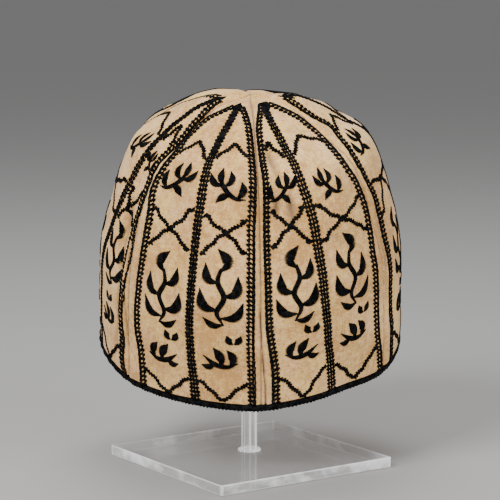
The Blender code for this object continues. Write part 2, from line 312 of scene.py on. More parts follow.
# Creases finer than the CAD's: azimuth and along of both ends, half width and depth in millimetres
CREASES = (
    (10.8, 0.758, 12.6, 0.660, 1.6, 1.6),
    (12.6, 0.600, 10.8, 0.545, 2.0, 2.2),
    (14.8, 0.610, 13.6, 0.548, 1.8, -1.3),
    (17.6, 0.600, 18.6, 0.525, 2.2, 2.0),
    (21.4, 0.590, 22.6, 0.540, 2.2, -0.9),
    (8.6, 0.690, 9.4, 0.620, 1.8, -0.9),
    (-61.5, 0.520, -58.6, 0.400, 1.6, 1.5),
    (-58.6, 0.400, -57.4, 0.300, 1.4, 1.3),
    (-57.4, 0.300, -60.8, 0.060, 1.3, 1.2),
    (-46.0, 0.500, -47.5, 0.200, 1.6, 0.5),
    (64.5, 0.480, 62.0, 0.200, 1.3, 1.0),
    (1.6, 0.620, 1.4, 0.330, 0.8, 1.2),
    (1.4, 0.330, 0.9, 0.040, 0.8, 1.4),
    (3.4, 0.300, 4.5, 0.185, 0.5, 1.7),
    (4.5, 0.185, 5.7, 0.060, 0.5, 1.9),
    (5.7, 0.080, 5.6, -0.030, 0.5, 1.9),
    (-53.0, 0.420, -54.4, 0.280, 0.5, 1.6),
    (-54.4, 0.280, -51.0, 0.040, 0.5, 1.7),
    (-38.0, 0.640, -30.0, 0.600, 3.5, 0.6),
    (-15.0, 0.660, -8.0, 0.600, 3.0, 0.7),
    (32.0, 0.480, 44.0, 0.440, 3.0, 0.6),
    (140.0, 0.620, 158.0, 0.560, 3.0, 1.0),
    (196.0, 0.500, 214.0, 0.430, 3.5, 1.0),
    (228.0, 0.700, 232.0, 0.520, 2.5, 1.0),
    (100.0, 0.420, 112.0, 0.380, 3.0, 0.8),
)
CREASE_RADIUS = 80.0
CREASE_END_SHARE = 0.35
CLOTH_THICKNESS = 2.0
CLOTH_FOOT = 0.0185
CLOTH_TOP_RADIUS = 0.5
HEM_DIP = 2.2
HEM_FADES_OUT = 0.25
# Depths and heights by a seam, each with how far from the seam it reaches, in millimetres
SEAM_SINK, SINK_REACH = 0.7, 2.6
SEAM_ROLL, ROLL_REACH = 0.50, 0.6
WELT_HEIGHT, WELT_FROM_SEAM, WELT_REACH = 0.35, 3.2, 1.6
PUCKER_HEIGHT, PUCKER_REACH = 0.22, 5.0
CROWN_CREASE, CROWN_REACH = 1.1, 1.9
BROAD_SWELL, SMALL_SWELL = 0.30, 0.14
# How far up the cloth the welts turn into the crown's creases, and all relief fades out at the point
CROWN_STARTS, CROWN_RUN = 0.84, 0.10
POINT_RUN = 0.04


def curve_through(knots, values, at):
    """Smooth curve through the values at the knots, worked out for an array of places."""
    index = np.clip(np.searchsorted(knots, at, side="right") - 1, 0, len(knots) - 2)
    slopes = np.gradient(values, knots)
    span = knots[index + 1] - knots[index]
    part = (at - knots[index]) / span
    start = values[index] * (1 + 2 * part) * (1 - part) ** 2
    end = values[index + 1] * part ** 2 * (3 - 2 * part)
    bend = slopes[index] * part * (1 - part) ** 2 - slopes[index + 1] * part ** 2 * (1 - part)
    return start + end + span * bend


def profile_at(along):
    """Distance from the axis, height above the rim and fullness, in millimetres."""
    steps = np.hypot(*np.diff(PROFILE[:, :2], axis=0).T)
    knots = np.concatenate(([0.0], np.cumsum(steps)))
    knots = knots / knots[-1]
    knots = np.append(knots, 2.0 - knots[-2])
    mirrored = np.vstack((PROFILE, PROFILE[-2] * (1.0, -1.0, 1.0)))
    height, radius, fullness = (curve_through(knots, column, along) for column in mirrored.T)
    return radius, height, fullness


def length_of_cloth():
    """Millimetres of cloth from the rim's edge to the crown's point."""
    radius, height, _ = profile_at(np.linspace(0.0, 1.0, 201))
    return float(np.sum(np.hypot(np.diff(radius), np.diff(height))))


CLOTH_LENGTH = length_of_cloth()


def crease_depth(azimuth, along):
    """Millimetres that the creases sink into the cloth, less than nothing on a ridge."""
    radius = profile_at(along)[0]
    depth = 0.0
    for first, low, second, high, half_width, deep in CREASES:
        turned = (azimuth - first + 180.0) % 360.0 - 180.0
        sideways = np.radians(turned) * radius
        upwards = (along - low) * CLOTH_LENGTH
        reach = (math.radians(second - first) * CREASE_RADIUS, (high - low) * CLOTH_LENGTH)
        length = math.hypot(*reach)
        on = np.clip((sideways * reach[0] + upwards * reach[1]) / length ** 2, 0.0, 1.0)
        away = np.hypot(sideways - on * reach[0], upwards - on * reach[1])
        swell = CREASE_END_SHARE + (1.0 - CREASE_END_SHARE) * np.sin(math.pi * on)
        depth = depth + deep * np.exp(-(away / half_width) ** 2) * swell
    return depth


def fine_relief(azimuth, along, from_seam, across):
    """Millimetres that the sewn cloth stands out beyond the CAD's surface: rolls, puckers and creases."""
    # Inside the sines stand waves along the cloth and round it, unlike enough to look irregular
    run = along * CLOTH_LENGTH
    roll = -SEAM_ROLL * np.exp(-(from_seam / ROLL_REACH) ** 2)
    welt = WELT_HEIGHT * np.exp(-((from_seam - WELT_FROM_SEAM) / WELT_REACH) ** 2)
    side = np.where(across > 0.0, 1.0, -1.0)
    pucker = PUCKER_HEIGHT * np.sin(run * 0.83 + side + azimuth * 0.02)
    pucker *= np.exp(-(from_seam / PUCKER_REACH) ** 2)
    pucker *= 0.5 + 0.5 * np.sin(run * 0.13 + side * 2.0)
    turn = np.radians(azimuth)
    soft = BROAD_SWELL * np.sin(3.0 * turn + run * 0.085) * np.sin(run * 0.062 + 2.0 * turn + 0.7)
    soft = soft + SMALL_SWELL * np.sin(13.0 * turn - run * 0.21) * np.sin(run * 0.17 + 5.0 * turn)
    soft = soft - crease_depth(azimuth, along)
    on_crown = np.clip((along - CROWN_STARTS) / CROWN_RUN, 0.0, 1.0)
    crease = -CROWN_CREASE * on_crown * np.exp(-(from_seam / CROWN_REACH) ** 2)
    fade = np.clip((1.0 - along) / POINT_RUN, 0.0, 1.0)
    return (roll + welt * (1.0 - on_crown) + pucker + soft + crease) * fade


def cloth_at(azimuth, along, lift=0.0, sewn=True):
    """World places, in metres, of points on the cloth, lifted off it by millimetres."""
    azimuth, along, lift = np.broadcast_arrays(*(np.asarray(item, float) for item in (azimuth, along, lift)))
    radius, height, fullness = profile_at(along)
    ahead = profile_at(along + 0.002)
    behind = profile_at(along - 0.002)
    rise = ahead[1] - behind[1]
    spread = ahead[0] - behind[0]
    size = np.hypot(rise, spread)
    turned = (azimuth - FIRST_SEAM) % 360.0 + FIRST_SEAM
    gore = np.clip(np.searchsorted(SEAMS, turned, side="right") - 1, 0, len(GORE_ANGLES) - 1)
    left = SEAMS[gore]
    right = SEAMS[gore + 1]
    across = 2.0 * (turned - left) / (right - left) - 1.0
    from_seam = np.radians(np.minimum(turned - left, right - turned)) * radius
    depth = fullness * (1.0 - np.abs(across) ** 2.4) - SEAM_SINK * np.exp(-(from_seam / SINK_REACH) ** 2)
    for middle, at, half_width, half_height, deep in DENTS:
        turn = (azimuth - middle + 180.0) % 360.0 - 180.0
        sideways = np.radians(turn) * radius / half_width
        upwards = (along - at) * CLOTH_LENGTH / half_height
        depth = depth - deep * np.exp(-sideways ** 2 - upwards ** 2)
    depth = depth + lift
    if sewn:
        depth = depth + fine_relief(azimuth, along, from_seam, across)
    low = np.clip(along / HEM_FADES_OUT, 0.0, 1.0)
    hem = (np.array(HEM_RISES)[gore] * (1.0 - across ** 2) - HEM_DIP) * (1.0 + np.cos(math.pi * low)) / 2
    radius = radius + rise / size * depth
    height = height - spread / size * depth + hem
    turn = np.radians(azimuth)
    flat = np.stack((radius * np.sin(turn), -radius * np.cos(turn), height), axis=-1) * MM
    return flat @ LEAN + np.array(RIM_CENTRE)


def place_vertices(piece, places):
    """Give a mesh object's vertices their places from an array."""
    piece.data.vertices.foreach_set("co", places.astype(np.float32).ravel())
    piece.data.update()


# Scale, detail and roughness of each noise in the wool: warp and weft lie along the cloth, drawn out
WARP = ((260.0, 30.0, 1.0), 3.0, 0.6)
WEFT = ((40.0, 330.0, 1.0), 3.0, 0.6)
WEAR = (11.0, 2.0, 0.5)
MOTTLE = (34.0, 4.0, 0.62)
STAIN = (46.0, 5.0, 0.7, 0.6)
TINT = (75.0, 3.0, 0.6)
FLOCK = (330.0, 2.0, 0.65)
FUZZ = (900.0, 2.0, 0.7)
GRIT = (1250.0, 2.0, 0.6)
WOOL_YELLOW = (0.995, 0.660, 0.225, 1.0)
WOOL_ROSY = (0.995, 0.618, 0.290, 1.0)
WOOL_DARK = (0.605, 0.313, 0.092, 1.0)
WOOL_STAINED = (0.560, 0.315, 0.095, 1.0)
# Painted shade, laid into the creases and along the seam grooves
PAINTED_CREASE_SHADE = (0.185, 0.115, 0.057, 1.0)


def blended(share, first, second):
    """Two colours mixed by a share that runs from 0, all the first, to 1, all the second."""
    return share.node("ShaderNodeMix", {"data_type": "RGBA"}, {"Factor": share, 6: first, 7: second}, 2)


cloth, cloth_shader, wire = new_material("sand_cloth")
weave_place = wire.node("ShaderNodeTexCoord", output="UV")
body_place = wire.node("ShaderNodeTexCoord", output="Object")
weave = noise(weave_place, *WARP) * 0.5 + noise(weave_place, *WEFT) * 0.5
wear, mottle, stain, tint, flock, fuzz, grit = (
    noise(body_place, *kind) for kind in (WEAR, MOTTLE, STAIN, TINT, FLOCK, FUZZ, GRIT))
painted_shade_share = wire.node("ShaderNodeAttribute", {"attribute_name": "painted_shade"}, output=2)
# The weave, grit and flock make the fine part of the wool's tone, the mottle and the wear its broad part
tone = weave * 0.23 + grit * 0.21 + flock * 0.19 + mottle * 0.25 + wear * 0.12
pale = blended(stretch(tint, 0.40, 0.60), WOOL_YELLOW, WOOL_ROSY)
wool = blended(stretch(tone, 0.448, 0.552), WOOL_DARK, pale)
wool = blended(stretch(stain, 0.56, 0.74, to_high=0.40), wool, WOOL_STAINED)
# Painted shade: the creases and the seam grooves are darkened in the colour
wool = blended(painted_shade_share * (0.55 + mottle * 0.6), wool, PAINTED_CREASE_SHADE)
wire.tree.links.new(wool.socket, cloth_shader.inputs["Base Color"])
cloth_shader.inputs["Roughness"].default_value = 0.92
cloth_shader.inputs["Specular IOR Level"].default_value = 0.2
cloth_shader.inputs["Sheen Weight"].default_value = 0.25
cloth_shader.inputs["Sheen Roughness"].default_value = 0.6
bump = wire.node("ShaderNodeBump", {}, {"Strength": 0.5, "Distance": 0.4 * MM, "Height": weave + fuzz * 0.6})
wire.tree.links.new(bump.socket, cloth_shader.inputs["Normal"])

GORE_COLUMNS = 84
GORE_ROWS = 170
CROWDED_TO_SEAMS = 0.55
UV_SPAN = 250.0 * MM
SEAM_GAP = 0.03
LEAST_RADIUS = 0.3
SHARPEST_SMOOTH = math.radians(50)
# Painted shade in the creases and seam grooves: a crease of this depth in millimetres takes all of the
# painted dark colour, and the seams take this share
FULL_SHADE_DEPTH = 2.0
SEAM_PAINTED_SHADE, SEAM_SHADE_REACH = 0.85, 0.50
top_along = 1.0 - CLOTH_TOP_RADIUS / CLOTH_LENGTH

for number in range(1, 7):
    left, right = SEAMS[number - 1], SEAMS[number]
    bpy.ops.mesh.primitive_grid_add(x_subdivisions=GORE_COLUMNS, y_subdivisions=GORE_ROWS, size=2.0)
    gore = bpy.context.object
    gore.name = f"cap_gore_{number}"
    grid = np.empty(len(gore.data.vertices) * 3, np.float32)
    gore.data.vertices.foreach_get("co", grid)
    grid = grid.reshape(-1, 3).astype(float)
    across = np.sin(grid[:, 0] * math.pi / 2) * CROWDED_TO_SEAMS + grid[:, 0] * (1.0 - CROWDED_TO_SEAMS)
    along = CLOTH_FOOT + (top_along - CLOTH_FOOT) * (grid[:, 1] + 1.0) / 2.0
    radius = profile_at(along)[0]
    edge = np.degrees(SEAM_GAP / np.maximum(radius, LEAST_RADIUS))
    azimuth = (left + right) / 2 + across * ((right - left) / 2 - edge)
    place_vertices(gore, cloth_at(azimuth, along))
    sideways = np.radians(azimuth - (left + right) / 2) * radius
    real_size = np.stack((sideways * MM / UV_SPAN + 0.5, along * CLOTH_LENGTH * MM / UV_SPAN), axis=-1)
    corners = np.empty(len(gore.data.loops), np.int32)
    gore.data.loops.foreach_get("vertex_index", corners)
    gore.data.uv_layers[0].data.foreach_set("uv", real_size[corners].astype(np.float32).ravel())
    from_seam = np.radians(np.minimum(azimuth - left, right - azimuth)) * radius
    # Painted shade for the creases and the seam grooves, kept on the points for the cloth's colour
    painted_shade = np.clip(crease_depth(azimuth, along) / FULL_SHADE_DEPTH, 0.0, 1.0) ** 0.8
    painted_shade = np.maximum(painted_shade, SEAM_PAINTED_SHADE * np.exp(-(from_seam / SEAM_SHADE_REACH) ** 2))
    gore.data.attributes.new("painted_shade", "FLOAT", "POINT").data.foreach_set("value", painted_shade.astype(np.float32))
    thick = gore.modifiers.new("cloth thickness", "SOLIDIFY")
    thick.thickness = CLOTH_THICKNESS * MM
    thick.offset = -1.0
    bpy.ops.object.modifier_apply(modifier=thick.name)
    bpy.ops.object.shade_smooth_by_angle(angle=SHARPEST_SMOOTH)
    gore.data.materials.append(cloth)
    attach(gore, "root")
    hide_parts(f"gore_{number}")

# ---- Cord bound round the rim
# The rim's edge is bound with a black cord of three strands twisted together. Each strand starts as a torus
# and is led round the rim along a screw line, and the cloth's foot is sewn into the top of the cord.

CORD_HEIGHT = 3.1
CORD_DEPTH = 3.2
CORD_STANDS_PROUD = 0.9
CORD_SAG = 0.20
STRANDS = 3
STRAND_DEPTH = 1.26
STRAND_HEIGHT = 1.60
SWING_DEPTH = 0.70
SWING_HEIGHT = 0.90
TWISTS = 104
STEPS_A_TWIST = 7
STRAND_SIDES = 7
TORUS_RADIUS = 10.0
# The cord's size all round, and how much it swells in front and behind, askew and on the left
EVEN_SIZE = 0.97
SWELL_IN_FRONT = 0.13
SWELL_ASKEW = 0.06
SWELL_ON_LEFT = 0.07
THREAD_FIBRES = (420.0, 2.0, 0.6)
THREAD_BLACK = (0.0012, 0.0013, 0.0016, 1.0)
THREAD_WORN = (0.0105, 0.0105, 0.0115, 1.0)

thread, thread_shader, wire = new_material("black_thread")
fibres = noise(wire.node("ShaderNodeTexCoord", output="Object"), *THREAD_FIBRES)
shade = blended(stretch(fibres, 0.42, 0.66), THREAD_BLACK, THREAD_WORN)
wire.tree.links.new(shade.socket, thread_shader.inputs["Base Color"])
thread_shader.inputs["Roughness"].default_value = 0.85
thread_shader.inputs["Specular IOR Level"].default_value = 0.06

ring = None
for strand in range(STRANDS):
    bpy.ops.mesh.primitive_torus_add(major_segments=TWISTS * STEPS_A_TWIST, minor_segments=STRAND_SIDES,
                                     major_radius=TORUS_RADIUS, minor_radius=1.0)
    torus = bpy.context.object
    grid = np.empty(len(torus.data.vertices) * 3, np.float32)
    torus.data.vertices.foreach_get("co", grid)
    grid = grid.reshape(-1, 3).astype(float)
    turn = np.arctan2(grid[:, 0], -grid[:, 1])
    outer = np.hypot(grid[:, 0], grid[:, 1]) - TORUS_RADIUS
    screw = turn * TWISTS + math.tau * strand / STRANDS
    fuller = EVEN_SIZE + SWELL_IN_FRONT * np.cos(2.0 * turn)
    fuller = fuller + SWELL_ASKEW * np.sin(2.0 * turn) - SWELL_ON_LEFT * np.sin(turn)
    reach = (outer * STRAND_DEPTH + SWING_DEPTH * np.cos(screw)) * fuller
    reach = reach + CORD_STANDS_PROUD - CORD_DEPTH / 2
    rise = (grid[:, 2] * STRAND_HEIGHT + SWING_HEIGHT * np.sin(screw)) * fuller
    rise = rise + CORD_HEIGHT / 2 - CORD_SAG
    outwards = np.stack((np.sin(turn), -np.cos(turn), np.zeros(len(turn))), axis=-1) * MM
    upwards = np.array((0.0, 0.0, MM))
    away = (outwards * reach[:, None] + upwards * rise[:, None]) @ LEAN
    place_vertices(torus, cloth_at(np.degrees(turn), 0.0, sewn=False) + away)
    if ring is None:
        ring = torus
    else:
        bpy.ops.object.select_all(action="DESELECT")
        torus.select_set(True)
        ring.select_set(True)
        bpy.context.view_layer.objects.active = ring
        bpy.ops.object.join()
ring.name = "rim_binding"
bpy.ops.object.shade_smooth()
ring.data.materials.append(thread)
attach(ring, "root")
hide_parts("rim_cord")

# ---- Embroidery of the gores
# Black wool thread is sewn through each gore: a ladder border along both seams, a double ladder down the
# middle, and in each half a pointed arch, two crossed lines, a low V and filled sprigs, buds and petals.
# One plump stitch is modelled, and every line and motif is a row of copies of it laid on the cloth.

BORDER_HALF = 2.3
BAND_HALF = 2.9
LATTICE_SWAY = 0.42
LATTICE_WAVE = 9.5
# Handwork is uneven: how far a stitch strays along its row and across it, and how its width varies
STRAY_ALONG, STRAY_ACROSS, STRAY_WIDTH = 0.14, 0.12, 0.14
SATIN_PITCH = 0.42
SATIN_THREAD = 0.62
SATIN_HEIGHT = 0.95
SATIN_LIFT = 0.12
SATIN_SLANT = 0.15
SATIN_NARROWEST = 0.15
SATIN_RAGGED = 0.12
RINGS_TO_TIPS = 1.2
STITCH_GIRTH = 1.1
FINE_STEPS = 24

bpy.ops.mesh.primitive_uv_sphere_add(segments=6, ring_count=3, radius=1.0)
stitch = bpy.context.object
stitch_shape = np.array([(vertex.co.z, vertex.co.x, vertex.co.y) for vertex in stitch.data.vertices])
stitch_shape[:, 0] *= np.where(np.abs(stitch_shape[:, 0]) < 0.9, RINGS_TO_TIPS, 1.0)
stitch_shape[:, 1:] *= STITCH_GIRTH
stitch_faces = [tuple(face.vertices) for face in stitch.data.polygons]
bpy.ops.object.delete()


class Path:
    """A line on the cloth through places given as azimuth and along, measured in millimetres."""

    def __init__(self, places, sway=0.0, breadth=(1.0,)):
        places = np.array(places, float)
        self.sway = sway
        self.breadth = breadth
        knots = np.arange(len(places), dtype=float)
        fine = np.linspace(0.0, knots[-1], FINE_STEPS * (len(places) - 1) + 1)
        if len(places) > 2:
            self.azimuth, self.along = (curve_through(knots, column, fine) for column in places.T)
        else:
            self.azimuth, self.along = (np.interp(fine, knots, column) for column in places.T)
        radius = profile_at(self.along)[0]
        sideways = np.radians(np.diff(self.azimuth)) * (radius[1:] + radius[:-1]) / 2
        upwards = np.diff(self.along) * CLOTH_LENGTH
        steps = np.hypot(sideways, upwards)
        self.run = np.concatenate(([0.0], np.cumsum(steps)))
        middles = (self.run[1:] + self.run[:-1]) / 2
        self.heading = [np.interp(self.run, middles, part / np.maximum(steps, 1e-9))
                        for part in (sideways, upwards)]
        self.length = self.run[-1]

    def at(self, run, offset=0.0):
        """Azimuth and along of points at millimetres along the line and off it to its left."""
        azimuth = np.interp(run, self.run, self.azimuth)
        along = np.interp(run, self.run, self.along)
        side, rise = (np.interp(run, self.run, part) for part in self.heading)
        size = np.hypot(side, rise)
        offset = offset * np.interp(run, np.linspace(0.0, self.length, len(self.breadth)), self.breadth)
        near_end = np.clip(np.minimum(run, self.length - run) / LATTICE_WAVE * 3.0, 0.0, 1.0)
        offset = offset + self.sway * near_end * np.sin(math.tau * run / LATTICE_WAVE + self.azimuth[0])
        azimuth = azimuth - np.degrees(rise / size * offset / profile_at(along)[0])
        return np.column_stack((azimuth, along + side / size * offset / CLOTH_LENGTH))


class Needle:
    """Sews one gore: keeps its stitches, each from one place on the cloth to another."""

    def __init__(self):
        self.rows = []

    def sew(self, start, end, width, height, lift=0.1):
        """Add stitches from start to end, with width, height and lift off the cloth in millimetres."""
        width, height, lift = (np.broadcast_to(item, len(start)) for item in (width, height, lift))
        self.rows.append(np.column_stack((start, end, width, height, lift)))

    def row(self, path, pitch, start, end, width, height, phase=0.5, first=0.0):
        """Add a stitch each pitch, its start and end given as millimetres onwards and to the left."""
        reach = path.length - first
        count = max(1, round(reach / pitch))
        index = np.arange(count)
        run = first + (index + phase) * reach / count + STRAY_ALONG * np.sin(index * 2.39 + start[1] * 5.0)
        off = STRAY_ACROSS * np.sin(index * 1.71 + start[1] * 3.0)
        width = width * (1.0 + STRAY_WIDTH * np.sin(index * 3.1 + end[1] * 4.0))
        self.sew(path.at(run + start[0], start[1] + off), path.at(run + end[0], end[1] + off), width, height)

    def satin(self, path, half_widths):
        """Fill a stroke with stitches across it, as wide as the half widths along it say."""
        count = max(2, round(path.length / SATIN_PITCH))
        run = (np.arange(count) + 0.5) * path.length / count
        knots = np.linspace(0.0, path.length, len(half_widths))
        half = np.maximum(curve_through(knots, np.array(half_widths), run), SATIN_NARROWEST)
        edge = half + SATIN_RAGGED * np.sin(run * 5.1)
        self.sew(path.at(run - SATIN_SLANT, edge), path.at(run + SATIN_SLANT, -edge), SATIN_THREAD,
                 SATIN_HEIGHT, SATIN_LIFT)

    def finish(self, name):
        """Turn the stitches into one mesh object."""
        stitches = np.vstack(self.rows)
        first_azimuth, first_along, last_azimuth, last_along, width, height, lift = stitches.T
        first = cloth_at(first_azimuth, first_along, lift)
        last = cloth_at(last_azimuth, last_along, lift)
        azimuth = (first_azimuth + last_azimuth) / 2
        along = (first_along + last_along) / 2
        outwards = cloth_at(azimuth, along, lift + 1.0) - cloth_at(azimuth, along, lift)
        ahead = last - first
        half_length = np.linalg.norm(ahead, axis=1)[:, None] / 2
        ahead = ahead / np.maximum(half_length * 2, 1e-9)
        across = np.cross(outwards, ahead)
        across /= np.linalg.norm(across, axis=1)[:, None]
        outwards = np.cross(ahead, across)
        parts = ((ahead, half_length), (across, width[:, None] * MM / 2),
                 (outwards, height[:, None] * MM / 2))
        places = (first + last)[:, None, :] / 2
        for column, (direction, size) in zip(stitch_shape.T, parts):
            places = places + (direction * size)[:, None, :] * column[None, :, None]
        mesh = bpy.data.meshes.new(name)
        count = len(stitch_shape)
        sides = np.array([len(face) for face in stitch_faces])
        corners = np.concatenate([np.array(face) for face in stitch_faces])
        corners = (corners[None, :] + count * np.arange(len(stitches))[:, None]).ravel()
        sides = np.tile(sides, len(stitches))
        mesh.vertices.add(count * len(stitches))
        mesh.loops.add(len(corners))
        mesh.polygons.add(len(sides))
        mesh.vertices.foreach_set("co", places.astype(np.float32).ravel())
        mesh.loops.foreach_set("vertex_index", corners.astype(np.int32))
        mesh.polygons.foreach_set("loop_start", (np.cumsum(sides) - sides).astype(np.int32))
        mesh.update(calc_edges=True)
        mesh.validate()
        mesh.shade_smooth()
        piece = bpy.data.objects.new(name, mesh)
        bpy.context.scene.collection.objects.link(piece)
        return piece


# Each ladder border has a braided line by the seam, rungs, and a toothed line on the panel's side. Each
# kind of stitch row here: pitch, start and end in millimetres onwards and to the side, width, height, phase
BORDER_ROWS = (
    (1.10, (-0.75, 1.66), (0.75, 1.98), 1.15, 0.9, 0.752),
    (1.10, (-0.75, 0.82), (0.75, 1.14), 1.15, 0.9, 0.248),
    (2.60, (-1.00, 0.95), (0.85, -1.05), 1.60, 0.7, 0.5),
    (2.60, (-1.70, -0.98), (1.70, -1.16), 1.30, 0.8, 0.5),
    (2.60, (-1.10, -0.95), (0.80, -2.45), 1.45, 0.9, 0.5),
)
BAND_SPINE = ((1.20, (-0.85, -0.14), (0.85, 0.14), 1.45, 0.9, 0.5),)
BAND_RUNGS = ((2.40, (-0.70, 0.35), (0.65, 1.75), 1.00, 0.7, 0.5),)
BAND_EDGES = (
    (2.40, (-1.55, 1.58), (1.55, 1.76), 1.30, 0.8, 0.5),
    (2.40, (-1.10, 1.45), (0.80, 2.85), 1.45, 0.9, 0.5),
)
BAND_FILLING = ((0.84, (-0.30, 0.40), (0.30, 1.70), 1.00, 0.8, 0.5),)
LATTICE_STRANDS = (
    (1.30, (-0.90, -0.60), (0.90, 0.40), 1.60, 0.9, 0.35),
    (1.30, (-0.70, 0.0), (0.70, 0.62), 1.35, 0.9, 0.75),
)
LATTICE_THORNS = (
    (1.85, (-0.45, 0.20), (0.45, 1.42), 1.15, 0.75, 0.5),
    (1.85, (-0.45, -0.20), (0.45, -1.42), 1.15, 0.75, 0.1),
)
# Where the lines of a gore start and end up the cloth, the last two measured down from their apex, and half
# of how far apart the borders end, in millimetres
LINE_FOOT, LINE_BREAK, LINE_END = 0.012, 0.030, 0.006
LINE_KNOTS = 40
APEX_HALF = 2.0
# The filled tip over an apex: how far up from the apex, and its half width there in millimetres
POINTED_TIP = ((-0.034, 1.2), (-0.015, 3.0), (0.012, 0.3))
BLUNT_TIP = ((-0.034, 1.2), (-0.015, 3.0), (0.003, 3.2))
PLAIN_RUNG = 1.3
SOLID_FROM = 0.94

# Places up the cloth, and at each the millimetres from a seam to the middle of the border beside it and
# the degrees that the middle band stands to the right of its gore's middle
STATIONS = np.array((0.0, 0.06, 0.12, 0.18, 0.24, 0.31, 0.38, 0.45, 0.52, 0.58, 0.64, 0.70, 0.75, 0.79, 0.83,
                     0.87))
# Besides: the apex where a gore's lines meet, how wide they meet there, the rungs' width, where the band
# turns solid, and how broad the left border, the right border and the band are from foot to apex
PLAIN_BORDER = (7.0, 7.0, 7.0, 6.5, 6.0, 6.0, 6.0, 5.5, 5.0, 4.5, 4.0, 3.5, 3.2, 3.4, 3.8, 5.0)
PLAIN_BAND = (0.0,) * 16
PLAIN_BREADTHS = ((1.0, 1.0, 1.0, 0.8), (1.0, 1.0, 1.0, 0.8), (1.0, 1.0, 1.0, 0.7))
GORE_LINES = {
    1: {"left": (14.4, 13.8, 12.4, 10.0, 9.5, 10.3, 10.7, 10.0, 9.0, 6.1, 6.8, 5.4, 2.6, 3.6, 5.2, 8.5),
        "right": (5.1, 5.1, 5.4, 5.8, 5.8, 5.6, 5.4, 5.0, 4.7, 3.7, 3.0, 2.8, 2.8, 3.0, 3.5, 4.9),
        "band": (4.1, 3.5, 2.7, 2.2, 1.8, 2.2, 2.4, 2.2, 2.4, 2.6, 2.2, 1.2, 1.8, 2.8, 4.5, 5.1),
        "apex": (-18.8, 0.905), "rung": 1.85, "solid_from": 0.79,
        "breadths": ((1.25, 1.25, 1.2, 1.2, 0.9, 0.85), (1.0, 1.05, 1.05, 1.05, 0.9, 0.8),
                     (1.1, 0.88, 0.83, 0.85, 0.95, 0.80, 0.72))},
    2: {"left": (8.2, 8.2, 7.8, 6.2, 4.6, 4.1, 3.9, 3.6, 3.6, 4.0, 4.0, 3.4, 3.0, 2.6, 2.6, 3.8),
        "right": (6.1, 6.4, 9.5, 10.8, 10.6, 10.6, 10.2, 7.2, 6.6, 7.5, 9.8, 6.9, 4.3, 5.8, 6.8, 9.0),
        "band": (-0.7, -1.5, -2.3, -3.3, -3.7, -4.5, -4.9, -5.5, -5.9, -7.1, -8.7, -8.7, -9.5, -10.5,
                 -12.2, -12.0),
        "apex": (24.8, 0.915), "rung": 1.15, "tip_shape": BLUNT_TIP,
        "breadths": ((1.05, 1.0, 0.85, 0.82, 0.78, 0.72), (1.3, 1.33, 1.33, 1.35, 1.25, 1.1),
                     (1.1, 0.88, 0.98, 1.1, 1.0, 0.80, 0.68))},
    3: {"left": (9.0, 9.6, 9.4, 7.4, 7.8, 8.1, 7.9, 8.5, 7.8, 5.0, 3.8, 6.4, 9.4, 5.6, 3.6, 3.1),
        "right": PLAIN_BORDER,
        "band": (0.0, 0.0, 0.0, 0.0, 0.0, 0.0, 0.0, 0.5, 1.5, 2.5, 3.0, 3.0, 2.5, 1.5, -1.0, -5.0),
        "apex": (75.0, 0.908), "tip": 0.5, "rung": 1.4,
        "breadths": ((1.15, 1.2, 1.2, 0.9, 0.85, 0.7), (1.0,), (1.0, 1.0, 1.0, 0.9, 0.6, 0.5))},
    4: {"left": PLAIN_BORDER, "right": PLAIN_BORDER, "band": PLAIN_BAND, "apex": (156.0, 0.800)},
    5: {"left": PLAIN_BORDER,
        "right": (7.0, 7.0, 7.0, 7.0, 7.0, 7.0, 7.0, 7.0, 7.5, 8.5, 9.5, 10.0, 10.0, 10.0, 10.0, 10.0),
        "band": PLAIN_BAND, "apex": (213.0, 0.800)},
    6: {"left": (4.0, 3.8, 3.6, 3.4, 3.2, 3.0, 3.0, 2.8, 2.5, 2.3, 2.2, 2.2, 2.2, 2.2, 2.3, 3.6),
        "right": (3.0, 5.8, 5.4, 7.3, 6.2, 4.7, 3.0, 3.5, 3.0, 2.3, 1.8, 1.6, 1.6, 2.1, 2.1, 2.7),
        "band": (3.5, 3.5, 3.5, 3.5, 4.5, 6.0, 8.5, 11.0, 13.5, 15.0, 16.0, 14.0, 11.5, 12.0, 12.3, 15.0),
        "apex": (292.8, 0.915), "tip": 0.75, "rung": 1.4,
        "breadths": ((0.8, 0.8, 0.8, 0.8, 0.7, 0.5, 0.4, 0.4, 0.5, 1.3, 1.5),
                     (1.2, 1.38, 1.32, 1.05, 0.75, 0.7), (1.0, 0.9, 0.9, 0.85, 0.7, 0.55))},
}

